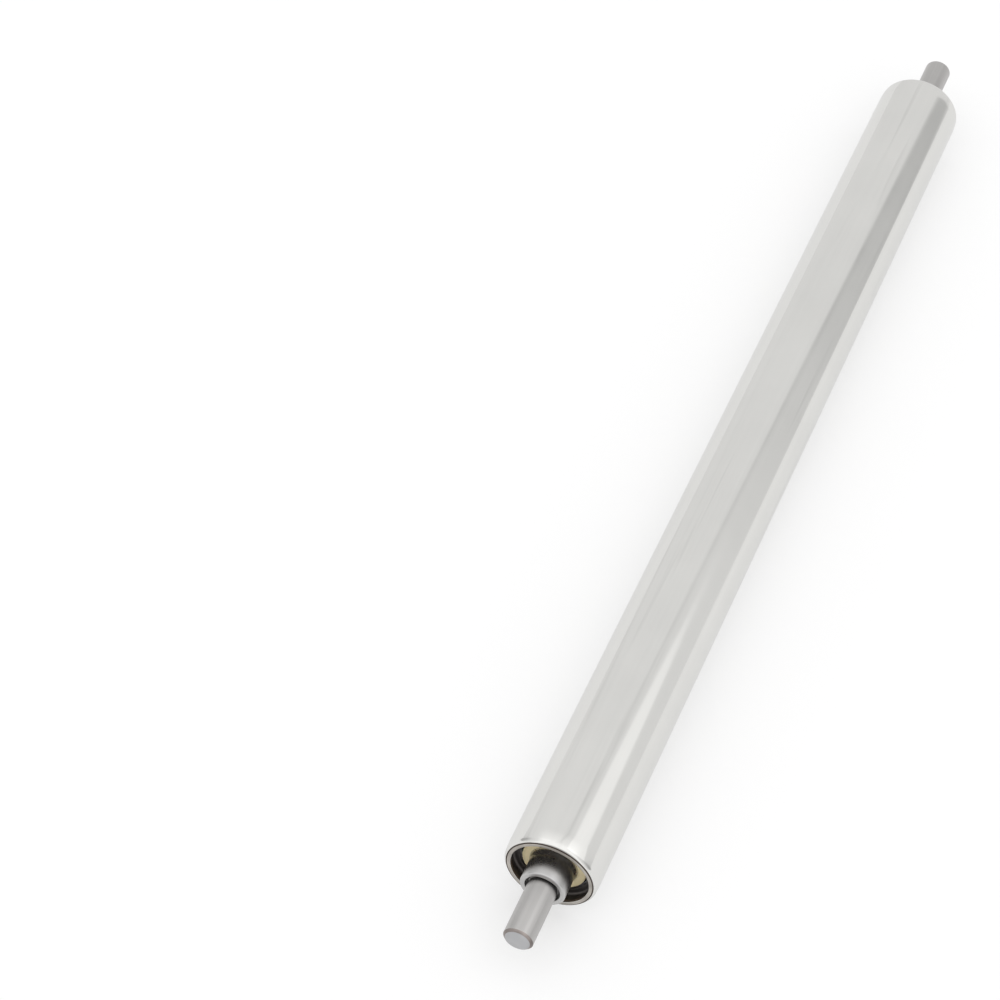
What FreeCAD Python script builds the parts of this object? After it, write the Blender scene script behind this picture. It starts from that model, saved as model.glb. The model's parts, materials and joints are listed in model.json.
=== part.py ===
import FreeCAD, Part
import math
import os

# Conveyor roller: a steel tube that turns on two pressed bearings around a plain sprung axle.
# Millimetres. The origin is the middle of the roller's axis, +Y runs along the axle and +Z is up.
# The near end is at -Y and the far end at +Y. A depth is measured from a tube end into the tube.

# Tube, whose rolled ends reach in this far from its outside
tube_length = 480.0
tube_diameter = 38.0
tube_wall = 1.2
roll_reach = 3.2
tube_edge = 0.2

# Axle
axle_diameter = 12.0
axle_overhang = 32.0
axle_chamfer = 0.9
relief_inset = 0.5
relief_width = 1.0
relief_cut = 0.25

# Hub, the inner ring of each bearing with its long sleeve, which is this share of the tube's radius
hub_share = 0.4816
hub_reach = 7.2
hub_bore_clearance = 0.075
mouth_gap = 0.9
mouth_depth = 5.0
lip_rounding = 0.6
root_rise = 0.7
root_length = 2.0
root_seat = 0.5
root_rounding = 2.0

# Balls and their grooves. A ball takes this share of the room between the sleeve and the casing.
ball_share = 0.6225
ball_count = 10
ball_clearance = 0.03
groove_web = 0.44
groove_depth = 0.8
side_land = 1.0

# Cage
pocket_clearance = 0.12
pocket_grip = 1.3
cage_clearance = 0.35
cage_back = 0.65

# Pressed cup and casing
sheet = 1.0
cup_bend = 1.2
cup_straight = 2.8
hub_stand_out = 0.2

# Dust ring
dust_ring_width = 3.05
dust_ring_thickness = 1.7
dust_ring_stand_out = 0.3
dust_ring_gap = 1.1
dust_ring_rounding = 0.3

# Spring and its washers
press_travel = 26.0
spring_wire = 1.4
spring_turns = 9
spring_wire_sides = 8
spring_gap = 0.6
spring_reserve = 9.4
washer_thickness = 1.0
washer_clearance = 0.1
washer_margin = 0.5

# Stop rings, open snap rings in grooves of the axle
stop_thickness = 1.0
stop_side_play = 0.05
stop_seat_cut = 0.25
stop_width = 1.9
stop_offset = 0.35
stop_opening = 3.2
ear_radius = 1.3
ear_hole_radius = 0.55

# Radii and stations that follow from the sizes above
half_tube = tube_length / 2
tube_radius = tube_diameter / 2
tube_bore_radius = tube_radius - tube_wall
roll_bend = tube_wall + sheet
lip_radius = tube_radius - roll_reach
axle_radius = axle_diameter / 2
axle_tip = half_tube + axle_overhang
hub_radius = hub_share * tube_radius
hub_bore_radius = axle_radius + hub_bore_clearance
mouth_radius = axle_radius + mouth_gap
casing_bore_radius = tube_bore_radius - sheet
ball_radius = ball_share * (casing_bore_radius - hub_radius) / 2
inner_groove_radius = hub_radius + groove_web
pitch_radius = inner_groove_radius + ball_clearance + ball_radius
outer_groove_radius = pitch_radius + ball_radius + ball_clearance
inner_land_radius = inner_groove_radius + groove_depth
outer_land_radius = outer_groove_radius - groove_depth
root_radius = hub_radius + root_rise
dust_ring_radius = root_radius + dust_ring_width
cup_hole_radius = dust_ring_radius + dust_ring_gap
cup_floor_depth = tube_wall + cup_straight + cup_bend
dust_ring_front = cup_floor_depth - dust_ring_stand_out
hub_shoulder = dust_ring_front + dust_ring_thickness
root_end = dust_ring_front - root_seat
race_front = cup_floor_depth + sheet
ball_depth = race_front + side_land + ball_radius
race_back = ball_depth + ball_radius + side_land
casing_back = race_back + sheet
hub_back = casing_back + hub_stand_out
spring_length = press_travel + spring_turns * spring_wire + spring_reserve
spring_radius = axle_radius + spring_gap + spring_wire / 2
washer_radius = spring_radius + spring_wire / 2 + washer_margin
stop_seat_radius = axle_radius - stop_seat_cut

ORIGIN = FreeCAD.Vector(0, 0, 0)
AXIS = FreeCAD.Vector(0, 1, 0)
NEAR = -1
FAR = 1


def station(side, depth):
    """The place along the axis that lies this deep in the tube from one of its ends."""
    return side * (half_tube - depth)


def rounded_wire(corners):
    """A closed outline through (radius, y, rounding) corners, each rounded by an arc if it asks for one."""
    points = [FreeCAD.Vector(r, y, 0) for r, y, rounding in corners]
    count = len(points)
    spans = []
    for i, point in enumerate(points):
        rounding = corners[i][2]
        back = (points[i - 1] - point).normalize()
        ahead = (points[(i + 1) % count] - point).normalize()
        half = back.getAngle(ahead) / 2
        if rounding == 0:
            spans.append((point, None, point))
            continue
        reach = rounding / math.tan(half)
        centre = point + (back + ahead).normalize() * (rounding / math.sin(half))
        middle = centre + (point - centre).normalize() * rounding
        spans.append((point + back * reach, middle, point + ahead * reach))
    edges = []
    for i, (start, middle, end) in enumerate(spans):
        if middle is not None:
            edges.append(Part.Arc(start, middle, end).toShape())
        following = spans[(i + 1) % count][0]
        if end.distanceToPoint(following) > 1e-6:
            edges.append(Part.LineSegment(end, following).toShape())
    return Part.Wire(edges)


def turned(wire):
    """The solid that a closed outline sweeps when it is turned about the roller's axis."""
    return Part.Face(wire).revolve(ORIGIN, AXIS, 360)


def turned_at(side, corners):
    """A turned solid at one end, from (radius, depth, rounding) corners."""
    return turned(rounded_wire([(r, station(side, depth), rounding) for r, depth, rounding in corners]))


def disc(radius, y, thickness):
    """A plain disc across the axis, from y towards +Y."""
    return Part.makeCylinder(radius, thickness, FreeCAD.Vector(0, y, 0), AXIS)


def washer(inner_radius, outer_radius, y, thickness):
    return disc(outer_radius, y, thickness).cut(disc(inner_radius, y, thickness))


def tube():
    """The shell that carries the load, with both ends rolled in over the edges of the cups."""
    return turned(rounded_wire([
        (lip_radius, station(NEAR, 0), tube_edge),
        (tube_radius, station(NEAR, 0), roll_bend),
        (tube_radius, station(FAR, 0), roll_bend),
        (lip_radius, station(FAR, 0), tube_edge),
        (lip_radius, station(FAR, tube_wall), 0),
        (tube_bore_radius, station(FAR, tube_wall), sheet),
        (tube_bore_radius, station(NEAR, tube_wall), sheet),
        (lip_radius, station(NEAR, tube_wall), 0),
    ]))


def axle_groove(y, width, cut):
    """The four corners of a square groove, from y towards +Y."""
    floor = axle_radius - cut
    return [(axle_radius, y, 0), (floor, y, 0), (floor, y + width, 0), (axle_radius, y + width, 0)]


def axle():
    """A plain round bar, with a ground seat at each end and a groove for each stop ring."""
    seat_end = half_tube + hub_reach - relief_inset
    stop_groove = stop_thickness + 2 * stop_side_play
    face_radius = axle_radius - axle_chamfer
    chamfer_y = axle_tip - axle_chamfer
    corners = [(0, -axle_tip, 0), (face_radius, -axle_tip, 0), (axle_radius, -chamfer_y, 0)]
    corners += axle_groove(-seat_end, relief_width, relief_cut)
    corners += axle_groove(near_stop_y - stop_side_play, stop_groove, stop_seat_cut)
    corners += axle_groove(far_stop_y - stop_side_play, stop_groove, stop_seat_cut)
    corners += axle_groove(seat_end - relief_width, relief_width, relief_cut)
    corners += [(axle_radius, chamfer_y, 0), (face_radius, axle_tip, 0), (0, axle_tip, 0)]
    return turned(rounded_wire(corners))


def ball_groove(side):
    """The ring of space that the balls run in."""
    centre = FreeCAD.Vector(0, station(side, ball_depth), 0)
    return Part.makeTorus(pitch_radius, ball_radius + ball_clearance, centre, AXIS)


def hub(side):
    """The inner ring: a sleeve with a flared root, and a band with the inner ball groove."""
    sleeve_and_band = turned_at(side, [
        (mouth_radius, -hub_reach, lip_rounding),
        (hub_radius, -hub_reach, lip_rounding),
        (hub_radius, root_end - root_length, root_rounding),
        (root_radius, root_end, root_rounding),
        (root_radius, hub_shoulder, 0),
        (inner_land_radius, hub_shoulder, 0),
        (inner_land_radius, hub_back, 0),
        (hub_bore_radius, hub_back, 0),
        (hub_bore_radius, mouth_depth - hub_reach, 0),
        (mouth_radius, mouth_depth - hub_reach, 0),
    ])
    return sleeve_and_band.cut(ball_groove(side))


def dust_ring(side):
    """The pale ring on the hub's root, in front of the balls."""
    return turned_at(side, [
        (root_radius, dust_ring_front, 0),
        (dust_ring_radius, dust_ring_front, dust_ring_rounding),
        (dust_ring_radius, hub_shoulder, 0),
        (root_radius, hub_shoulder, 0),
    ])


def bearing_cup(side):
    """The pressed cup in the tube's mouth, with a rounded edge under the rolled end and a hole in its floor."""
    return turned_at(side, [
        (casing_bore_radius, tube_wall, 0),
        (tube_bore_radius, tube_wall, sheet),
        (tube_bore_radius, race_front, cup_bend + sheet),
        (cup_hole_radius, race_front, 0),
        (cup_hole_radius, cup_floor_depth, 0),
        (casing_bore_radius, cup_floor_depth, cup_bend),
    ])


def bearing_casing(side):
    """The pressed casing behind the cup, which holds the outer race."""
    return turned_at(side, [
        (casing_bore_radius, race_front, 0),
        (tube_bore_radius, race_front, 0),
        (tube_bore_radius, casing_back, sheet),
        (cup_hole_radius, casing_back, 0),
        (cup_hole_radius, race_back, 0),
        (casing_bore_radius, race_back, 0),
    ])


def outer_race(side):
    """The hardened ring with the outer ball groove."""
    ring = turned_at(side, [
        (outer_land_radius, race_front, 0),
        (casing_bore_radius, race_front, 0),
        (casing_bore_radius, race_back, 0),
        (outer_land_radius, race_back, 0),
    ])
    return ring.cut(ball_groove(side))


def ball_directions():
    """The directions from the axis to the balls."""
    angles = [2 * math.pi * i / ball_count for i in range(ball_count)]
    return [FreeCAD.Vector(math.cos(a), 0, math.sin(a)) for a in angles]


def balls(side):
    middle = FreeCAD.Vector(0, station(side, ball_depth), 0)
    centres = [middle + direction * pitch_radius for direction in ball_directions()]
    return Part.makeCompound([Part.makeSphere(ball_radius, centre, AXIS) for centre in centres])


def cage(side):
    """A moulded ring with a round pocket for each ball, open towards the tube's end."""
    front = ball_depth - pocket_grip
    back = ball_depth + ball_radius + pocket_clearance + cage_back
    ring = turned_at(side, [
        (inner_land_radius + cage_clearance, front, 0),
        (outer_land_radius - cage_clearance, front, 0),
        (outer_land_radius - cage_clearance, back, 0),
        (inner_land_radius + cage_clearance, back, 0),
    ])
    middle = FreeCAD.Vector(0, station(side, ball_depth), 0)
    pocket_radius = ball_radius + pocket_clearance
    pockets = [Part.makeCylinder(pocket_radius, tube_radius, middle, way) for way in ball_directions()]
    return ring.cut(pockets)


def stop_ring(y):
    """An open snap ring in its groove, wider opposite its opening, with an ear at each end."""
    outer_radius = stop_seat_radius + stop_width
    outer = disc(outer_radius, y, stop_thickness)
    outer.translate(FreeCAD.Vector(0, 0, stop_offset))
    ear_x = stop_opening / 2 + ear_radius
    ear_z = -math.sqrt(outer_radius ** 2 - ear_x ** 2)
    ears = [disc(ear_radius, y, stop_thickness) for _ in range(2)]
    holes = [disc(ear_hole_radius, y, stop_thickness) for _ in range(2)]
    for sign, ear, hole in zip((-1, 1), ears, holes):
        ear.translate(FreeCAD.Vector(sign * ear_x, 0, ear_z))
        hole.translate(FreeCAD.Vector(sign * ear_x, 0, ear_z))
    opening = Part.makeBox(
        stop_opening, stop_thickness, axle_diameter, FreeCAD.Vector(-stop_opening / 2, y, -axle_diameter)
    )
    ring = outer.fuse(ears).cut([disc(stop_seat_radius, y, stop_thickness), opening] + holes)
    return ring.removeSplitter()


def spring():
    """The compression spring that pushes the axle out at the near end, with its end coils ground flat."""
    pitch = (spring_length + spring_wire) / spring_turns
    path = Part.makeHelix(pitch, spring_length + spring_wire, spring_radius)
    section = []
    for i in range(spring_wire_sides + 1):
        angle = 2 * math.pi * i / spring_wire_sides
        x = spring_radius + spring_wire / 2 * math.cos(angle)
        section.append(FreeCAD.Vector(x, 0, spring_wire / 2 * math.sin(angle)))
    wire = Part.Wire(path.Edges).makePipeShell([Part.makePolygon(section)], True, True)
    wire.rotate(ORIGIN, FreeCAD.Vector(1, 0, 0), -90)
    wire.translate(FreeCAD.Vector(0, spring_y - spring_wire / 2, 0))
    return wire.common(disc(washer_radius, spring_y, spring_length))


# Places along the axle of the pieces between the far stop ring and the far hub
near_stop_y = station(NEAR, hub_back)
hub_washer_y = station(FAR, hub_back) - washer_thickness
spring_y = hub_washer_y - spring_length
stop_washer_y = spring_y - washer_thickness
far_stop_y = stop_washer_y - stop_thickness
washer_bore_radius = axle_radius + washer_clearance

nodes = {
    "tube": tube(),
    "axle": axle(),
    "axle_spring": spring(),
    "near_stop_ring": stop_ring(near_stop_y),
    "far_stop_ring": stop_ring(far_stop_y),
    "spring_stop_washer": washer(washer_bore_radius, washer_radius, stop_washer_y, washer_thickness),
    "spring_hub_washer": washer(washer_bore_radius, washer_radius, hub_washer_y, washer_thickness),
}
for name, side in (("near", NEAR), ("far", FAR)):
    nodes[name + "_hub"] = hub(side)
    nodes[name + "_dust_ring"] = dust_ring(side)
    nodes[name + "_bearing_cup"] = bearing_cup(side)
    nodes[name + "_bearing_casing"] = bearing_casing(side)
    nodes[name + "_outer_race"] = outer_race(side)
    nodes[name + "_balls"] = balls(side)
    nodes[name + "_cage"] = cage(side)

os.makedirs("parts", exist_ok=True)
for name, shape in nodes.items():
    shape.exportStep("parts/" + name + ".step")
    state = "valid" if shape.isValid() else "INVALID"
    print(name, state, len(shape.Solids), "solids", round(shape.Volume, 2), "mm3")
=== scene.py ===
import json
import math

import bmesh
import bpy
from bpy.props import FloatProperty, FloatVectorProperty, IntProperty, PointerProperty
from mathutils import Matrix, Vector


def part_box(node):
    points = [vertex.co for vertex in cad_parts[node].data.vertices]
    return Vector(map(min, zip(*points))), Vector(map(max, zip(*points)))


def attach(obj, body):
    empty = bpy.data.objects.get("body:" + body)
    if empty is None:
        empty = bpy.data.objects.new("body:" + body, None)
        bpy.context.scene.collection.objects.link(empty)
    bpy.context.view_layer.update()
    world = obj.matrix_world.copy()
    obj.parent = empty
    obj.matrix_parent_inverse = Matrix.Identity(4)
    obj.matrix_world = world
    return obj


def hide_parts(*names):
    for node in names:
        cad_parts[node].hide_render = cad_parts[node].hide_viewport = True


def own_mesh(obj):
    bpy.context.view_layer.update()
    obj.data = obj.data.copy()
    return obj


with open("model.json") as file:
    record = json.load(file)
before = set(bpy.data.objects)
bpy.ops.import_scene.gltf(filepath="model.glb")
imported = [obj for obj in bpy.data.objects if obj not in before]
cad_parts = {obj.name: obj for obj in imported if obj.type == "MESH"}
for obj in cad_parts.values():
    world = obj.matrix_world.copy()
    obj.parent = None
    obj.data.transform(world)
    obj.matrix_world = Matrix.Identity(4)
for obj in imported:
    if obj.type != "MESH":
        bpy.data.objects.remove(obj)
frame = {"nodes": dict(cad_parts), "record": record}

bl_info = {
    "name": "Conveyor roller",
    "version": (1, 0, 0),
    "blender": (4, 5, 0),
    "location": "View3D > Sidebar > Roller",
    "description": "Turned, bent and wound pieces and steel finishes for a sprung conveyor roller",
    "category": "Object",
}

# The roller lies along +Y with its middle at the origin, +Z up. Sizes are in metres.
# A depth is measured from a tube end into the tube.
AXIS = Vector((0, 1, 0))
SIDES = {"near": -1, "far": 1}

# Points nearer than MERGED are made one. Points nearer than TOUCHING count as one place.
MERGED = 1e-7
TOUCHING = 1e-6

# Edges that turn more than this are shown sharp.
SHARP = math.radians(25)

# Places round the bend of a rolled end, in degrees from the tube's wall.
SEAM_RIMS = (58, 73)
SEAM_FLOOR = (59, 72)
LIP_TURNS = (79, 85, 90)

# How many parts the taper and the bend of a rolled end, and each ball groove, are drawn in.
TAPER_STEPS = 8
BEND_STEPS = 10
GROOVE_STEPS = 12

# How finely the spring is wound.
WIRE_SIDES = 16
STEPS_A_TURN = 48

# Finishes by their place in a piece's list: on the tube after its plating, and on the axle
# after the bar.
# The tube's second finish is painted shade in the seam of each rolled end and on the lip's inner
# face; its third is the lip darkened as painted dark reflection.
SEAM_SHADE, LIP = 1, 2
# The axle's third finish darkens the chamfer as painted dark reflection.
SAWN, CHAMFER = 1, 2

# Nearly all of a noise value lies between these.
NOISE_LOW = 0.3
NOISE_HIGH = 0.7

# How drawn steel varies: what share the broad streaks have in its colour and in its relief, what
# share the patches have in its colour, and how light its streaks of painted dark reflection are.
BROAD_IN_COLOUR = 0.65
BROAD_IN_RELIEF = 0.95
PATCHES_IN_COLOUR = 0.45
REFLECTION_STREAK_LEVEL = 0.82

# How far the floor reaches from the roller, and how dull it is.
FLOOR_REACH = 12
FLOOR_ROUGHNESS = 0.9

# The side of the room that the tube's bright band shows.
BAND_DIRECTION = Vector((0.708, -0.620, 0.338))


def length(name, description, default):
    """A size in metres."""
    return FloatProperty(
        name=name, description=description, default=default, min=0, unit="LENGTH", precision=5
    )


def colour(name, description, default):
    return FloatVectorProperty(
        name=name, description=description, default=default,
        min=0, max=1, size=3, subtype="COLOR",
    )


class TubeSizes(bpy.types.PropertyGroup):
    length: length("Length", "Length of the tube over its two rolled ends", 0.480)
    radius: length("Radius", "Outer radius of the tube", 0.019)
    wall: length("Wall", "Thickness of the tube's wall", 0.0012)
    taper_depth: length("Taper depth", "How far from each end the tube starts to draw in", 0.0075)
    taper_slope: FloatProperty(
        name="Taper slope", description="How steep the tube has become where the bend starts",
        default=math.radians(5), min=0, subtype="ANGLE",
    )
    roll_bend: length("Roll bend", "Outer radius of the bend at each rolled end", 0.0022)
    seam_depth: length("Seam depth", "Depth of the dark seam round the bend", 0.0004)
    lip_radius: length("Lip radius", "Radius that the rolled ends reach in to", 0.0158)
    edge: length("Broken edge", "Rounding of the lip's outer edge", 0.0002)


class AxleSizes(bpy.types.PropertyGroup):
    radius: length("Radius", "Radius of the bar", 0.006)
    overhang: length("Overhang", "How far the axle stands out of the tube", 0.032)
    chamfer: length("Chamfer", "Chamfer at each tip", 0.0009)
    edge: length("Broken edge", "Rounding of the chamfer's edges", 0.0001)
    relief_reach: length(
        "Relief reach", "How far from the tube's end the relief cut starts", 0.0067
    )
    relief_width: length("Relief width", "Width of each relief cut", 0.001)
    cut: length("Cut", "Depth of the relief cuts and of the stop rings' grooves", 0.00025)
    groove_width: length("Groove width", "Width of each stop ring's groove", 0.0011)


class HubSizes(bpy.types.PropertyGroup):
    radius: length("Radius", "Outer radius of the sleeve", 0.00915)
    reach: length("Reach", "How far the sleeve stands out of the tube", 0.0072)
    bore_radius: length("Bore radius", "Radius of the hole the axle slides in", 0.006075)
    mouth_radius: length("Mouth radius", "Radius of the wider mouth of the hole", 0.0071)
    mouth_edge: length("Mouth edge", "Rounding of the mouth's edge", 0.00025)
    mouth_depth: length("Mouth depth", "Depth of the wider mouth", 0.005)
    lip: length("Lip", "Rounding of the sleeve's lip", 0.0006)
    flare_depth: length("Flare depth", "Where the sleeve starts to flare out to its root", 0.0024)
    root_depth: length("Root depth", "Where the flare ends", 0.0044)
    root_radius: length("Root radius", "Radius of the root that carries the dust ring", 0.00985)
    shoulder_depth: length(
        "Shoulder depth", "Where the band with the ball groove starts", 0.0066
    )
    band_radius: length("Band radius", "Radius of the band with the ball groove", 0.01039)
    ball_depth: length("Ball depth", "Where the middles of the balls lie", 0.009581)
    pitch_radius: length(
        "Pitch radius", "Radius of the circle through the middles of the balls", 0.012001
    )
    groove_radius: length("Groove radius", "Radius of the ball groove's section", 0.002411)
    back_depth: length("Back depth", "Where the hub ends inside the tube", 0.01416)


class DustRingSizes(bpy.types.PropertyGroup):
    radius: length("Radius", "Outer radius of the ring", 0.0129)
    front_depth: length("Front depth", "Where the ring's visible face lies", 0.0049)
    rounding: length("Rounding", "Rounding of the ring's front rim", 0.0003)


class CupSizes(bpy.types.PropertyGroup):
    sheet: length("Sheet", "Thickness of the pressed sheet", 0.001)
    nose: length("Nose", "Rounding of the edge that lies in the tube's bend", 0.00095)
    bend: length("Bend", "Inner radius of the bend between wall and floor", 0.0012)
    floor_depth: length("Floor depth", "Where the cup's floor lies", 0.0052)
    hole_radius: length("Hole radius", "Radius of the hole in the floor", 0.014)
    edge: length("Broken edge", "Rounding of the hole's edge", 0.0001)


class SpringSizes(bpy.types.PropertyGroup):
    radius: length("Radius", "Radius of the coil at the middle of the wire", 0.0073)
    wire: length("Wire", "Diameter of the wire", 0.0014)
    turns: IntProperty(name="Turns", description="Number of turns", default=9, min=2)
    pressed: FloatProperty(
        name="Pressed", description="Share of its length left when the axle is pressed in",
        default=0.4583, min=0.1, max=1,
    )


class Finishes(bpy.types.PropertyGroup):
    tube: colour("Tube", "Bright satin plating", (0.725, 0.72, 0.70))
    axle: colour("Axle", "Drawn bar", (0.51, 0.50, 0.49))
    sawn: colour("Sawn face", "Axle tips", (0.47, 0.47, 0.48))
    hub: colour("Hub", "Satin plating of the sleeve", (0.52, 0.515, 0.51))
    # Painted shade: the sheet's near-black colour stands for the shade in the recess of the tube's
    # mouth.
    pressed: colour("Pressed sheet", "Near-black pressed sheet with painted shade", (0.11, 0.10, 0.095))
    hardened: colour("Hardened", "Polished bearing steel", (0.62, 0.62, 0.64))
    spring: colour("Spring", "Oiled spring steel", (0.30, 0.30, 0.32))
    dust_ring: colour("Dust ring", "Cream nylon", (0.75, 0.64, 0.39))
    cage: colour("Cage", "Natural nylon", (0.72, 0.69, 0.60))
    # Painted shade: the seam of each rolled end and the lip's inner face are coloured dark for the
    # shade there.
    seam_shade: colour("Painted seam shade", "Painted shade in the seam of the rolled ends", (0.08, 0.055, 0.04))
    # Painted dark reflection: the lip is coloured darker for the dark floor and shade it reflects.
    lip: colour("Lip", "Plating on the lip of the rolled ends, darkened as painted dark reflection", (0.49, 0.46, 0.42))
    # Painted dark reflection: the chamfer is coloured darker and browner for the dark line it
    # shows.
    chamfer: colour("Chamfer", "Edge of the axle tips, darkened as painted dark reflection", (0.40, 0.355, 0.335))


class StageSettings(bpy.types.PropertyGroup):
    camera_place: FloatVectorProperty(
        name="Camera place", description="Where the camera stands",
        default=(0.141497, -0.849289, 0.929180), subtype="TRANSLATION", unit="LENGTH",
    )
    camera_turn: FloatVectorProperty(
        name="Camera turn", description="How the camera is turned",
        default=(0.709707, -0.087672, 0.389037), subtype="EULER",
    )
    focal_length: FloatProperty(
        name="Focal length", description="Focal length in millimetres", default=106.67, min=1
    )
    floor: colour("Floor", "Plain pale floor", (0.93, 0.93, 0.93))
    whiteness: FloatProperty(
        name="Whiteness", description="Share of pure white in the floor as it is seen",
        default=0.5, min=0, max=1,
    )
    lamp_place: FloatVectorProperty(
        name="Lamp place", description="Where the overhead lamp hangs",
        default=(1.25, 0.42, 1.37), subtype="TRANSLATION", unit="LENGTH",
    )
    lamp_size: length("Lamp size", "How wide the round lamp is", 1.6)
    lamp_power: FloatProperty(
        name="Lamp power", description="Power of the lamp", default=1.5, min=0, unit="POWER"
    )


class RollerSettings(bpy.types.PropertyGroup):
    tube: PointerProperty(type=TubeSizes)
    axle: PointerProperty(type=AxleSizes)
    hub: PointerProperty(type=HubSizes)
    dust_ring: PointerProperty(type=DustRingSizes)
    cup: PointerProperty(type=CupSizes)
    spring: PointerProperty(type=SpringSizes)
    finishes: PointerProperty(type=Finishes)
    stage: PointerProperty(type=StageSettings)


def station(side, depth):
    """The place along the axis that lies this deep in the tube from one of its ends."""
    return side * (bpy.context.scene.roller.tube.length / 2 - depth)


# Turning and finishing meshes

def draw(bm, corners, closed=True):
    """A line of edges through (radius, y) corners, in the plane that is turned later."""
    verts = [bm.verts.new((radius, y, 0)) for radius, y in corners]
    ends = verts[1:] + verts[:1] if closed else verts[1:]
    for start, end in zip(verts, ends):
        bm.edges.new((start, end))


def turn(bm, steps=144):
    """Turns what is drawn once round the axis and closes it."""
    bmesh.ops.spin(
        bm, geom=bm.verts[:] + bm.edges[:], cent=(0, 0, 0), axis=AXIS, dvec=(0, 0, 0),
        angle=2 * math.pi, steps=steps, use_merge=True,
    )
    bmesh.ops.remove_doubles(bm, verts=bm.verts[:], dist=MERGED)
    bmesh.ops.dissolve_degenerate(bm, edges=bm.edges[:], dist=MERGED)
    bmesh.ops.recalc_face_normals(bm, faces=bm.faces[:])


def from_axis(vert):
    """How far a vertex lies from the roller's axis."""
    return math.hypot(vert.co.x, vert.co.z)


def round_rims(bm, rims, offset, segments=3):
    """Rounds the circles that run through these (radius, y) corners."""
    def on(vert, rim):
        radius, y = rim
        return abs(from_axis(vert) - radius) < TOUCHING and abs(vert.co.y - y) < TOUCHING

    edges = [e for e in bm.edges for rim in rims if on(e.verts[0], rim) and on(e.verts[1], rim)]
    bmesh.ops.bevel(
        bm, geom=edges, offset=offset, offset_type="OFFSET", affect="EDGES", segments=segments,
        profile=0.5, material=-1,
    )


def finish_piece(bm, name, body, nodes, slot, *materials):
    """Makes the mesh an object with its finishes. It stands for the CAD nodes, on their body."""
    mesh = bpy.data.meshes.new(name)
    bm.to_mesh(mesh)
    bm.free()
    mesh.shade_smooth()
    mesh.set_sharp_from_angle(angle=SHARP)
    for material in materials:
        mesh.materials.append(material)
    piece = bpy.data.objects.new(name, mesh)
    bpy.context.scene.collection.objects.link(piece)
    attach(piece, body)
    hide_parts(*nodes)
    return piece


# Shader nodes

def node(tree, kind, inputs, **settings):
    """A shader node with its settings, and its inputs given as values or as nodes' outputs."""
    made = tree.nodes.new(kind)
    for key, value in settings.items():
        setattr(made, key, value)
    for key, value in inputs.items():
        if isinstance(value, bpy.types.NodeSocket):
            tree.links.new(value, made.inputs[key])
        else:
            made.inputs[key].default_value = value
    return made


def compute(tree, operation, *values):
    """The result of a sum on numbers."""
    return node(tree, "ShaderNodeMath", dict(enumerate(values)), operation=operation).outputs[0]


def compute_vector(tree, operation, *values, result="Vector"):
    """The result of a sum on vectors."""
    inputs = dict(enumerate(values))
    return node(tree, "ShaderNodeVectorMath", inputs, operation=operation).outputs[result]


def noise(tree, place, scale, detail, roughness=0.5):
    """A value that wanders from place to place."""
    inputs = {"Vector": place, "Scale": scale, "Detail": detail, "Roughness": roughness}
    return node(tree, "ShaderNodeTexNoise", inputs).outputs["Fac"]


def mix(tree, share, first, second):
    """A number between two others."""
    return node(tree, "ShaderNodeMix", {0: share, 2: first, 3: second}).outputs[0]


def mix_colours(tree, share, first, second):
    """A colour between two others."""
    inputs = {0: share, 6: first, 7: second}
    return node(tree, "ShaderNodeMix", inputs, data_type="RGBA").outputs[2]


def spread(tree, value, low, high):
    """A noise value spread over a range."""
    ranges = {
        "Value": value, "From Min": NOISE_LOW, "From Max": NOISE_HIGH, "To Min": low, "To Max": high
    }
    return node(tree, "ShaderNodeMapRange", ranges, clamp=True).outputs["Result"]


def object_place(tree):
    return node(tree, "ShaderNodeTexCoord", {}).outputs["Object"]


def new_group(name, inputs, outputs):
    """An empty shader node group with named sockets, and its two end nodes."""
    tree = bpy.data.node_groups.new(name, "ShaderNodeTree")
    for socket, default in inputs.items():
        made = tree.interface.new_socket(socket, in_out="INPUT", socket_type="NodeSocketFloat")
        made.default_value = default
    for socket in outputs:
        tree.interface.new_socket(socket, in_out="OUTPUT", socket_type="NodeSocketFloat")
    return tree, tree.nodes.new("NodeGroupInput"), tree.nodes.new("NodeGroupOutput")


# Finishes

def drawn_streaks():
    """Streaks that run along the axis, as drawing and polishing leave them on a tube or a bar, and
    dark streaks of painted reflection.
    """
    name = "Drawn streaks"
    if name in bpy.data.node_groups:
        return bpy.data.node_groups[name]
    inputs = {"Fine": 1500.0, "Broad": 160.0, "Along": 6.0}
    tree, given, result = new_group(name, inputs, ["Fine", "Broad", "Patches", "Reflection streaks"])
    place = object_place(tree)
    for socket, detail, stretch in (("Fine", 4.0, 1.0), ("Broad", 2.0, 0.35)):
        along = compute(tree, "MULTIPLY", given.outputs["Along"], stretch)
        across = given.outputs[socket]
        axes = {"X": across, "Y": along, "Z": across}
        scale = node(tree, "ShaderNodeCombineXYZ", axes).outputs[0]
        stretched = compute_vector(tree, "MULTIPLY", place, scale)
        streaks = noise(tree, stretched, scale=1.0, detail=detail, roughness=0.6)
        tree.links.new(streaks, result.inputs[socket])
    patches = noise(tree, place, scale=35.0, detail=4.0, roughness=0.55)
    tree.links.new(patches, result.inputs["Patches"])
    # Dark streaks along the axis, painted as dark reflection.
    drawn_out = compute_vector(tree, "MULTIPLY", place, (170.0, 5.0, 170.0))
    reflection_streaks = noise(tree, drawn_out, scale=1.0, detail=3.0, roughness=0.6)
    ranges = {"Value": reflection_streaks, "From Min": 0.62, "From Max": 0.85}
    reflection_streaks = node(tree, "ShaderNodeMapRange", ranges).outputs["Result"]
    tree.links.new(reflection_streaks, result.inputs["Reflection streaks"])
    return tree


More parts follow.
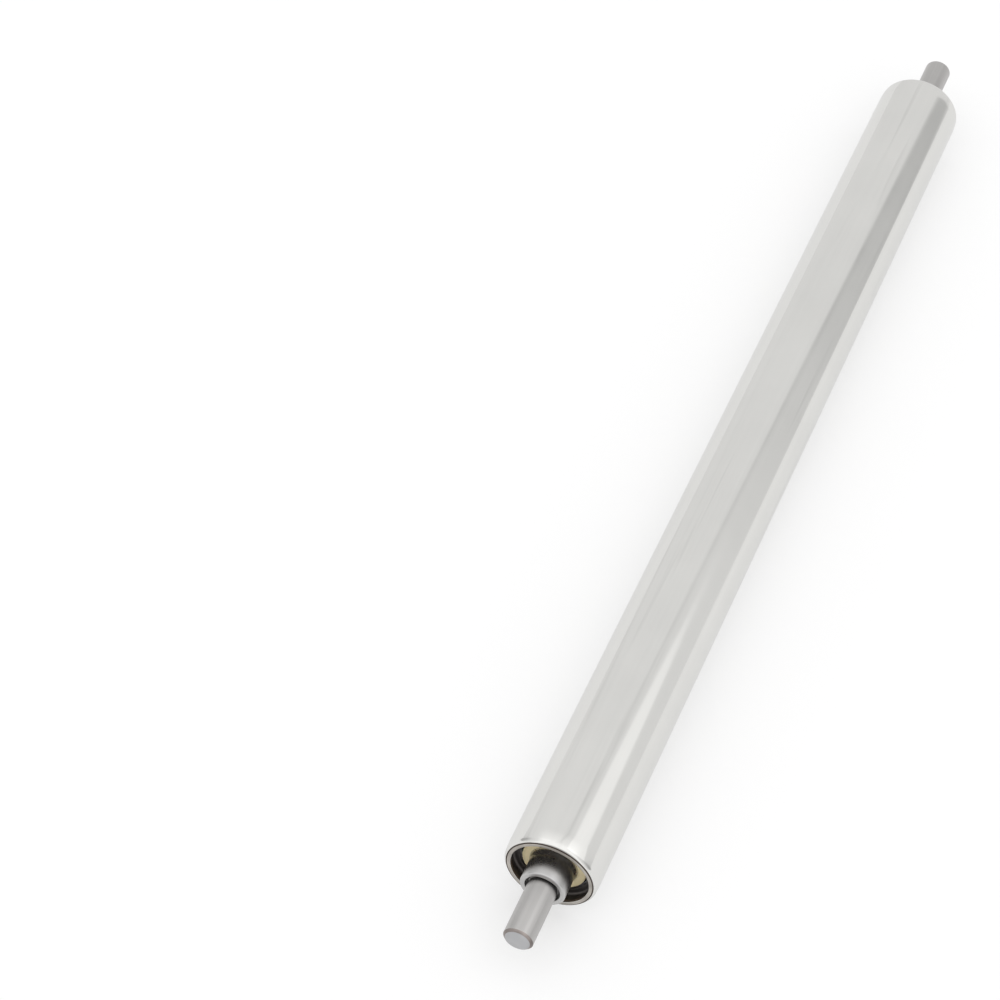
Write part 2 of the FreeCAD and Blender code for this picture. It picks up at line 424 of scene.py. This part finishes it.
def turning_marks():
    """Fine rings round the axis, as a lathe leaves them."""
    name = "Turning marks"
    if name in bpy.data.node_groups:
        return bpy.data.node_groups[name]
    tree, given, result = new_group(name, {"Count": 9000.0}, ["Rings", "Patches"])
    place = object_place(tree)
    parts = node(tree, "ShaderNodeSeparateXYZ", {"Vector": place}).outputs
    flat = node(tree, "ShaderNodeCombineXYZ", {"X": parts["X"], "Z": parts["Z"]}).outputs[0]
    radius = compute_vector(tree, "LENGTH", flat, result="Value")
    path = compute(tree, "ADD", radius, parts["Y"])
    scaled = compute(tree, "MULTIPLY", path, given.outputs["Count"])
    inputs = {"W": scaled, "Scale": 1.0, "Detail": 3.0}
    rings = node(tree, "ShaderNodeTexNoise", inputs, noise_dimensions="1D").outputs["Fac"]
    tree.links.new(rings, result.inputs["Rings"])
    patches = noise(tree, place, scale=120.0, detail=3.0)
    tree.links.new(patches, result.inputs["Patches"])
    return tree


def shade(tree, colour, pattern, darkest, lightest):
    """The colour made darker and lighter by a noise value."""
    low, high = ([channel * level for channel in colour] + [1.0] for level in (darkest, lightest))
    return mix_colours(tree, spread(tree, pattern, 0.0, 1.0), low, high)


def new_material(name, metallic=0.0):
    """A material, its node tree and its Principled BSDF."""
    material = bpy.data.materials.new(name)
    material.use_nodes = True
    surface = material.node_tree.nodes["Principled BSDF"]
    surface.inputs["Metallic"].default_value = metallic
    return material, material.node_tree, surface


def roughen(tree, surface, height, depth):
    """Fine relief on the surface from a noise value."""
    bump = node(tree, "ShaderNodeBump", {"Strength": 1.0, "Distance": depth, "Height": height})
    tree.links.new(bump.outputs["Normal"], surface.inputs["Normal"])


def drawn_steel(name, colour, roughness, depth, fine=1500.0, broad=160.0, darkest=0.95):
    """Bright metal with streaks along the axis, duller at a grazing angle than pure metal."""
    material, tree, surface = new_material(name, metallic=1.0)
    inputs = {"Fine": fine, "Broad": broad}
    marks = node(tree, "ShaderNodeGroup", inputs, node_tree=drawn_streaks()).outputs
    streaks = mix(tree, BROAD_IN_COLOUR, marks["Fine"], marks["Broad"])
    worn = mix(tree, PATCHES_IN_COLOUR, streaks, marks["Patches"])
    clean = shade(tree, colour, worn, darkest, lightest=1.03)
    # The darker streaks in the colour are painted dark reflection.
    reflection_streaked = [channel * REFLECTION_STREAK_LEVEL for channel in colour] + [1.0]
    plating = mix_colours(tree, marks["Reflection streaks"], clean, reflection_streaked)
    tree.links.new(plating, surface.inputs["Base Color"])
    dullness = spread(tree, marks["Patches"], roughness * 0.85, roughness * 1.2)
    tree.links.new(dullness, surface.inputs["Roughness"])
    surface.inputs["Specular Tint"].default_value = (0.9, 0.9, 0.9, 1.0)
    relief = mix(tree, BROAD_IN_RELIEF, marks["Fine"], marks["Broad"])
    roughen(tree, surface, relief, depth)
    return material


def turned_steel(name, colour, roughness, depth, count=9000.0, darkest=0.92):
    """Metal with fine rings round the axis."""
    material, tree, surface = new_material(name, metallic=1.0)
    marks = node(tree, "ShaderNodeGroup", {"Count": count}, node_tree=turning_marks()).outputs
    patchy = shade(tree, colour, marks["Patches"], darkest, lightest=1.05)
    tree.links.new(patchy, surface.inputs["Base Color"])
    dullness = spread(tree, marks["Patches"], roughness * 1.2, roughness * 0.9)
    tree.links.new(dullness, surface.inputs["Roughness"])
    roughen(tree, surface, marks["Rings"], depth)
    return material


def soft_surface(name, colour):
    """Moulded nylon, or the painted shade in the tube's seam, dull and slightly uneven."""
    material, tree, surface = new_material(name)
    marks = node(tree, "ShaderNodeGroup", {"Count": 2500.0}, node_tree=turning_marks()).outputs
    patchy = shade(tree, colour, marks["Patches"], darkest=0.9, lightest=1.04)
    tree.links.new(patchy, surface.inputs["Base Color"])
    dullness = spread(tree, marks["Patches"], low=0.42, high=0.55)
    tree.links.new(dullness, surface.inputs["Roughness"])
    roughen(tree, surface, marks["Rings"], depth=0.00001)
    surface.inputs["Subsurface Weight"].default_value = 0.15
    surface.inputs["Subsurface Radius"].default_value = (0.002, 0.0015, 0.001)
    surface.inputs["Subsurface Scale"].default_value = 0.5
    return material


# Pieces

class ROLLER_OT_tube(bpy.types.Operator):
    """Makes the tube, rolled in at both ends over the bearings"""

    bl_idname = "roller.tube"
    bl_label = "Tube"

    def execute(self, context):
        sizes = context.scene.roller.tube
        bore_radius = sizes.radius - sizes.wall
        near_rim, far_rim = (station(side, 0) for side in SIDES.values())
        near_back, far_back = (station(side, sizes.wall) for side in SIDES.values())
        near_end, far_end = (self.rolled_end(sizes, side) for side in SIDES.values())
        corners = [(sizes.lip_radius, near_rim)] + near_end[::-1]
        corners += far_end + [(sizes.lip_radius, far_rim)]
        corners += [(sizes.lip_radius, far_back), (bore_radius, far_back)]
        corners += [(bore_radius, near_back), (sizes.lip_radius, near_back)]
        bm = bmesh.new()
        draw(bm, corners)
        turn(bm, steps=192)
        inner_bends = [(bore_radius, near_back), (bore_radius, far_back)]
        round_rims(bm, inner_bends, sizes.roll_bend - sizes.wall, segments=6)
        round_rims(bm, [(sizes.lip_radius, near_rim), (sizes.lip_radius, far_rim)], sizes.edge)
        self.mark_end(bm, sizes)
        finishes = context.scene.roller.finishes
        plating = drawn_steel("Tube plating", finishes.tube, roughness=0.11, depth=0.00004)
        # The seam's finish is painted shade; the lip's finish is darkened as painted dark
        # reflection.
        seam_shade = soft_surface("Painted seam shade", finishes.seam_shade)
        # The lip's darker colour and strong patches are painted dark reflection.
        lip = turned_steel(
            "Lip with painted dark reflection", finishes.lip, roughness=0.34, depth=0.000002, count=4000.0, darkest=0.7
        )
        finish_piece(bm, "rolled_tube", "shell", ["tube"], "tube_steel", plating, seam_shade, lip)
        return {"FINISHED"}

    def bend_centre(self, sizes):
        """The radius and the depth that the bend runs round."""
        taper = sizes.taper_depth - sizes.roll_bend * (1 - math.sin(sizes.taper_slope))
        drop = taper * math.tan(sizes.taper_slope) / 2
        radius = sizes.radius - drop - sizes.roll_bend * math.cos(sizes.taper_slope)
        return radius, sizes.roll_bend

    def rolled_end(self, sizes, side):
        """The outside of one end, from the start of its taper round the bend to its face."""
        radius, depth = self.bend_centre(sizes)
        bend_start = depth - sizes.roll_bend * math.sin(sizes.taper_slope)
        drop = sizes.radius - radius - sizes.roll_bend * math.cos(sizes.taper_slope)
        corners = []
        for step in range(TAPER_STEPS):
            share = step / TAPER_STEPS
            y = station(side, sizes.taper_depth + (bend_start - sizes.taper_depth) * share)
            corners.append((sizes.radius - drop * share ** 2, y))
        seam_start, seam_end = (math.radians(rim) for rim in SEAM_RIMS)
        bend = seam_start - sizes.taper_slope
        turns = [sizes.taper_slope + bend * step / BEND_STEPS for step in range(BEND_STEPS + 1)]
        steps = [(angle, 0) for angle in turns]
        steps += [(math.radians(degrees), sizes.seam_depth) for degrees in SEAM_FLOOR]
        steps += [(seam_end, 0)] + [(math.radians(degrees), 0) for degrees in LIP_TURNS]
        for angle, cut in steps:
            reach = sizes.roll_bend - cut
            y = station(side, depth - reach * math.sin(angle))
            corners.append((radius + reach * math.cos(angle), y))
        return corners

    def mark_end(self, bm, sizes):
        """Gives the lip and the seam's faces finishes of their own: a darker lip of painted dark
        reflection, and painted shade in the seam and on the lip's inner face.
        """
        radius, depth = self.bend_centre(sizes)
        seam_end = math.radians(SEAM_RIMS[1])
        lip = station(1, depth - sizes.roll_bend * math.sin(seam_end))
        seam_floor = sizes.roll_bend - sizes.seam_depth
        near_floor = 10 * TOUCHING
        # The lip's faces get painted dark reflection; the lip's inner face and the seam's floor get
        # painted shade.
        for face in bm.faces:
            if min(abs(vert.co.y) for vert in face.verts) > lip - TOUCHING:
                face.material_index = LIP
            elif max(from_axis(vert) for vert in face.verts) < sizes.lip_radius + TOUCHING:
                face.material_index = SEAM_SHADE
            for vert in face.verts:
                reach = math.hypot(from_axis(vert) - radius, abs(vert.co.y) - station(1, depth))
                if abs(reach - seam_floor) < near_floor:
                    face.material_index = SEAM_SHADE


class ROLLER_OT_axle(bpy.types.Operator):
    """Makes the axle with its chamfered tips, relief cuts and stop ring grooves"""

    bl_idname = "roller.axle"
    bl_label = "Axle"

    def execute(self, context):
        sizes = context.scene.roller.axle
        tip = context.scene.roller.tube.length / 2 + sizes.overhang
        relief = station(1, -sizes.relief_reach)
        grooves = [(-relief, sizes.relief_width)]
        for name in ("near_stop_ring", "far_stop_ring"):
            low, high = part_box(name)
            grooves.append(((low[1] + high[1] - sizes.groove_width) / 2, sizes.groove_width))
        grooves.append((relief - sizes.relief_width, sizes.relief_width))
        face_radius = sizes.radius - sizes.chamfer
        corners = [(0, -tip), (face_radius, -tip), (sizes.radius, sizes.chamfer - tip)]
        for y, width in grooves:
            floor = sizes.radius - sizes.cut
            corners += [(sizes.radius, y), (floor, y)]
            corners += [(floor, y + width), (sizes.radius, y + width)]
        corners += [(sizes.radius, tip - sizes.chamfer), (face_radius, tip), (0, tip)]
        bm = bmesh.new()
        draw(bm, corners, closed=False)
        turn(bm, steps=96)
        round_rims(bm, [corners[1], corners[2], corners[-2], corners[-3]], sizes.edge)
        for face in bm.faces:
            middle = abs(face.calc_center_median().y)
            if middle > tip - TOUCHING:
                face.material_index = SAWN
            elif middle > tip - sizes.chamfer:
                face.material_index = CHAMFER
        finishes = context.scene.roller.finishes
        bar = drawn_steel(
            "Axle bar", finishes.axle, roughness=0.32, depth=0.00005,
            fine=2600.0, broad=420.0, darkest=0.8,
        )
        sawn = turned_steel("Sawn face", finishes.sawn, roughness=0.45, depth=0.000002)
        # The chamfer's darker, browner colour is painted dark reflection.
        chamfer = turned_steel(
            "Chamfer with painted dark reflection", finishes.chamfer, roughness=0.4, depth=0.000002,
            count=4000.0, darkest=0.45,
        )
        finish_piece(bm, "axle_bar", "axle", ["axle"], "axle_steel", bar, sawn, chamfer)
        return {"FINISHED"}


class ROLLER_OT_hubs(bpy.types.Operator):
    """Makes the two hubs, each a sleeve with a rounded lip and a band inside the bearing"""

    bl_idname = "roller.hubs"
    bl_label = "Hubs"

    def execute(self, context):
        sizes = context.scene.roller.hub
        plating = turned_steel(
            "Hub plating", context.scene.roller.finishes.hub, roughness=0.27, depth=0.0000002,
            darkest=0.97,
        )
        for end, side in SIDES.items():
            front = station(side, -sizes.reach)
            step = station(side, sizes.mouth_depth - sizes.reach)
            shoulder = station(side, sizes.shoulder_depth)
            back = station(side, sizes.back_depth)
            flare = [
                (sizes.radius, station(side, sizes.flare_depth)),
                (sizes.root_radius, station(side, sizes.root_depth)),
            ]
            corners = [(sizes.mouth_radius, front), (sizes.radius, front)] + flare
            corners += [(sizes.root_radius, shoulder), (sizes.band_radius, shoulder)]
            corners += self.groove(sizes, side) + [(sizes.band_radius, back)]
            corners += [(sizes.bore_radius, back), (sizes.bore_radius, step)]
            corners += [(sizes.mouth_radius, step)]
            bm = bmesh.new()
            draw(bm, corners)
            turn(bm)
            round_rims(bm, [(sizes.mouth_radius, front)], sizes.mouth_edge)
            round_rims(bm, [(sizes.radius, front)], sizes.lip, segments=6)
            round_rims(bm, flare, sizes.lip, segments=4)
            finish_piece(bm, end + "_sleeve", "hubs", [end + "_hub"], "hub_steel", plating)
        return {"FINISHED"}

    def groove(self, sizes, side):
        """The section of the groove that the balls run in."""
        reach = math.acos((sizes.pitch_radius - sizes.band_radius) / sizes.groove_radius)
        corners = []
        for step in range(GROOVE_STEPS + 1):
            angle = reach * (2 * step / GROOVE_STEPS - 1)
            radius = sizes.pitch_radius - sizes.groove_radius * math.cos(angle)
            y = station(side, sizes.ball_depth + sizes.groove_radius * math.sin(angle))
            corners.append((radius, y))
        return corners


class ROLLER_OT_dust_rings(bpy.types.Operator):
    """Makes the two pale rings in front of the balls"""

    bl_idname = "roller.dust_rings"
    bl_label = "Dust rings"

    def execute(self, context):
        sizes = context.scene.roller.dust_ring
        hub = context.scene.roller.hub
        cream = soft_surface("Cream nylon", context.scene.roller.finishes.dust_ring)
        for end, side in SIDES.items():
            front = station(side, sizes.front_depth)
            back = station(side, hub.shoulder_depth)
            corners = [(hub.root_radius, front), (sizes.radius, front)]
            corners += [(sizes.radius, back), (hub.root_radius, back)]
            bm = bmesh.new()
            draw(bm, corners)
            turn(bm)
            round_rims(bm, [(sizes.radius, front)], sizes.rounding)
            finish_piece(
                bm, end + "_pale_ring", "hubs", [end + "_dust_ring"], "dust_ring_nylon", cream
            )
        return {"FINISHED"}


class ROLLER_OT_cups(bpy.types.Operator):
    """Makes the two pressed cups in the tube's mouths"""

    bl_idname = "roller.cups"
    bl_label = "Bearing cups"

    def execute(self, context):
        sizes = context.scene.roller.cup
        tube = context.scene.roller.tube
        outer = tube.radius - tube.wall
        inner = outer - sizes.sheet
        # The cup's near-black colour is painted shade of the recess in the tube's mouth.
        shaded_sheet = turned_steel(
            "Pressed sheet", context.scene.roller.finishes.pressed, roughness=0.48,
            depth=0.000002, count=4000.0, darkest=0.8,
        )
        for end, side in SIDES.items():
            rim = station(side, tube.wall)
            floor = station(side, sizes.floor_depth)
            back = station(side, sizes.floor_depth + sizes.sheet)
            corners = [(inner, rim), (outer, rim), (outer, back)]
            corners += [(sizes.hole_radius, back), (sizes.hole_radius, floor), (inner, floor)]
            bm = bmesh.new()
            draw(bm, corners)
            turn(bm)
            round_rims(bm, [(outer, back)], sizes.bend + sizes.sheet, segments=8)
            round_rims(bm, [(inner, floor)], sizes.bend, segments=8)
            round_rims(bm, [(outer, rim)], sizes.nose, segments=6)
            round_rims(bm, [(sizes.hole_radius, floor)], sizes.edge)
            finish_piece(
                bm, end + "_pressed_cup", "shell", [end + "_bearing_cup"], "pressed_steel", shaded_sheet
            )
        return {"FINISHED"}


class ROLLER_OT_spring(bpy.types.Operator):
    """Winds the spring on the axle, with its ends ground flat"""

    bl_idname = "roller.spring"
    bl_label = "Spring"

    def execute(self, context):
        sizes = context.scene.roller.spring
        low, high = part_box("axle_spring")
        start, end = low[1], high[1]
        steps = STEPS_A_TURN * sizes.turns
        advance = (end - start + sizes.wire) / steps
        section = Matrix.Translation((sizes.radius, start - sizes.wire / 2, 0))
        bm = bmesh.new()
        bmesh.ops.create_circle(
            bm, cap_ends=False, segments=WIRE_SIDES, radius=sizes.wire / 2, matrix=section
        )
        bmesh.ops.spin(
            bm, geom=bm.verts[:] + bm.edges[:], cent=(0, 0, 0), axis=AXIS, dvec=(0, advance, 0),
            angle=2 * math.pi * sizes.turns, steps=steps, use_merge=False,
        )
        for y, outside in ((start, -1), (end, 1)):
            bmesh.ops.bisect_plane(
                bm, geom=bm.verts[:] + bm.edges[:] + bm.faces[:], dist=MERGED,
                plane_co=(0, y, 0), plane_no=(0, outside, 0), clear_outer=True,
            )
        bmesh.ops.holes_fill(bm, edges=[e for e in bm.edges if e.is_boundary], sides=0)
        bmesh.ops.recalc_face_normals(bm, faces=bm.faces[:])
        wire = turned_steel(
            "Spring wire", context.scene.roller.finishes.spring, roughness=0.35, depth=0.000004
        )
        spring = finish_piece(bm, "wound_spring", "axle", ["axle_spring"], "spring_steel", wire)
        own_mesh(spring)
        return {"FINISHED"}


class ROLLER_OT_insides(bpy.types.Operator):
    """Finishes the pieces inside the tube: casings, races, balls, cages, washers, stop rings"""

    bl_idname = "roller.insides"
    bl_label = "Pieces inside"

    def execute(self, context):
        finishes = context.scene.roller.finishes
        materials = {
            # The casings share the near-black sheet colour, which is painted shade.
            "pressed_steel": turned_steel(
                "Pressed casing", finishes.pressed, roughness=0.38, depth=0.000002,
                count=4000.0, darkest=0.8,
            ),
            "race_steel": turned_steel(
                "Hardened steel", finishes.hardened, roughness=0.16, depth=0.000002
            ),
            "spring_steel": turned_steel(
                "Stop ring steel", finishes.spring, roughness=0.35, depth=0.000004
            ),
            "cage_nylon": soft_surface("Natural nylon", finishes.cage),
        }
        slots = {entry["node"]: entry["material_slot"] for entry in frame["record"]["subparts"]}
        for name, piece in frame["nodes"].items():
            material = materials.get(slots[name])
            if material is not None and not piece.hide_render:
                piece.data.materials.clear()
                piece.data.materials.append(material)
        return {"FINISHED"}


class ROLLER_OT_stage(bpy.types.Operator):
    """Sets the floor, the light and the camera"""

    bl_idname = "roller.stage"
    bl_label = "Stage"

    def execute(self, context):
        scene = context.scene
        settings = scene.roller.stage
        self.lay_floor(scene, settings)
        self.light_room(scene)
        self.hang_lamp(scene, settings)
        camera = bpy.data.objects.new("camera", bpy.data.cameras.new("camera"))
        camera.location = settings.camera_place
        camera.rotation_euler = settings.camera_turn
        camera.data.lens = settings.focal_length
        camera.data.clip_start = 0.05
        scene.collection.objects.link(camera)
        scene.camera = camera
        scene.view_settings.view_transform = "Standard"
        return {"FINISHED"}

    def lay_floor(self, scene, settings):
        """A pale floor under the roller, part of which is plain white to the camera."""
        bm = bmesh.new()
        below = Matrix.Translation((0, 0, -scene.roller.tube.radius))
        bmesh.ops.create_grid(bm, x_segments=1, y_segments=1, size=FLOOR_REACH, matrix=below)
        mesh = bpy.data.meshes.new("floor")
        bm.to_mesh(mesh)
        bm.free()
        floor = bpy.data.objects.new("floor", mesh)
        scene.collection.objects.link(floor)
        material, tree, surface = new_material("Floor")
        surface.inputs["Base Color"].default_value = (*settings.floor, 1)
        surface.inputs["Roughness"].default_value = FLOOR_ROUGHNESS
        rays = node(tree, "ShaderNodeLightPath", {}).outputs
        seen = compute(tree, "MAXIMUM", rays["Is Camera Ray"], rays["Is Glossy Ray"])
        seen = compute(tree, "MAXIMUM", seen, rays["Is Transmission Ray"])
        share = compute(tree, "MULTIPLY", seen, settings.whiteness)
        white = node(tree, "ShaderNodeEmission", {"Strength": 1.0}).outputs[0]
        inputs = {0: share, 1: surface.outputs[0], 2: white}
        mixed = node(tree, "ShaderNodeMixShader", inputs).outputs[0]
        tree.links.new(mixed, tree.nodes["Material Output"].inputs["Surface"])
        mesh.materials.append(material)

    def light_room(self, scene):
        """A white room, brightest overhead, with the darker places that polished steel shows."""
        world = bpy.data.worlds.new("Studio")
        world.use_nodes = True
        scene.world = world
        tree = world.node_tree
        way = node(tree, "ShaderNodeTexCoord", {}).outputs["Generated"]
        parts = node(tree, "ShaderNodeSeparateXYZ", {"Vector": way}).outputs
        to_far = parts["Y"]
        to_side = compute(tree, "ABSOLUTE", parts["X"])
        band = BAND_DIRECTION.normalized()
        beyond = compute_vector(tree, "DOT_PRODUCT", way, band, result="Value")
        overhead = self.ramp(tree, to_side, start=0.5, end=0.85, low=1.3, high=0.9)
        level = self.ramp(tree, to_far, start=0.3, end=0.6, low=overhead, high=0.9)
        behind = self.ramp(tree, to_far, start=-0.98, end=-0.78, low=0.3, high=1.0)
        wall = self.ramp(tree, to_far, start=0.6, end=0.77, low=0.86, high=0.62)
        wall = self.ramp(tree, beyond, start=-0.012, end=0.012, low=1.0, high=wall)
        glow = self.ramp(tree, beyond, start=0.012, end=0.08, low=1.0, high=1.14)
        ends = self.ramp(tree, to_side, start=0.84, end=1.0, low=1.0, high=0.55)
        for share in (behind, wall, glow, ends):
            level = compute(tree, "MULTIPLY", level, share)
        background = tree.nodes["Background"].inputs
        background["Color"].default_value = (1, 1, 1, 1)
        tree.links.new(level, background["Strength"])

    def ramp(self, tree, value, start, end, low, high):
        """A soft step from low to high while the value goes from start to end."""
        ranges = {
            "Value": value, "From Min": start, "From Max": end, "To Min": low, "To Max": high
        }
        made = node(tree, "ShaderNodeMapRange", ranges, interpolation_type="SMOOTHSTEP")
        return made.outputs["Result"]

    def hang_lamp(self, scene, settings):
        """A round soft lamp that faces the roller."""
        lamp = bpy.data.lights.new("overhead softbox", "AREA")
        lamp.shape = "DISK"
        lamp.size = settings.lamp_size
        lamp.energy = settings.lamp_power
        box = bpy.data.objects.new("overhead softbox", lamp)
        box.location = settings.lamp_place
        box.rotation_euler = (-box.location).to_track_quat("-Z", "Y").to_euler()
        scene.collection.objects.link(box)


class ROLLER_PT_panel(bpy.types.Panel):
    """Lists the roller's pieces and its stage"""

    bl_idname = "ROLLER_PT_panel"
    bl_label = "Conveyor roller"
    bl_space_type = "VIEW_3D"
    bl_region_type = "UI"
    bl_category = "Roller"

    def draw(self, context):
        for operator in OPERATORS:
            self.layout.operator(operator.bl_idname)


OPERATORS = (
    ROLLER_OT_tube,
    ROLLER_OT_axle,
    ROLLER_OT_hubs,
    ROLLER_OT_dust_rings,
    ROLLER_OT_cups,
    ROLLER_OT_spring,
    ROLLER_OT_insides,
    ROLLER_OT_stage,
)
GROUPS = (
    TubeSizes,
    AxleSizes,
    HubSizes,
    DustRingSizes,
    CupSizes,
    SpringSizes,
    Finishes,
    StageSettings,
    RollerSettings,
)


def register():
    for made in GROUPS + OPERATORS + (ROLLER_PT_panel,):
        bpy.utils.register_class(made)
    bpy.types.Scene.roller = PointerProperty(type=RollerSettings)


def unregister():
    del bpy.types.Scene.roller
    for made in reversed(GROUPS + OPERATORS + (ROLLER_PT_panel,)):
        bpy.utils.unregister_class(made)


def main():
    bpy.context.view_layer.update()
    register()
    bpy.ops.roller.tube()
    bpy.ops.roller.axle()
    bpy.ops.roller.hubs()
    bpy.ops.roller.dust_rings()
    bpy.ops.roller.cups()
    bpy.ops.roller.spring()
    bpy.ops.roller.insides()
    bpy.ops.roller.stage()


if __name__ == "__main__":
    main()
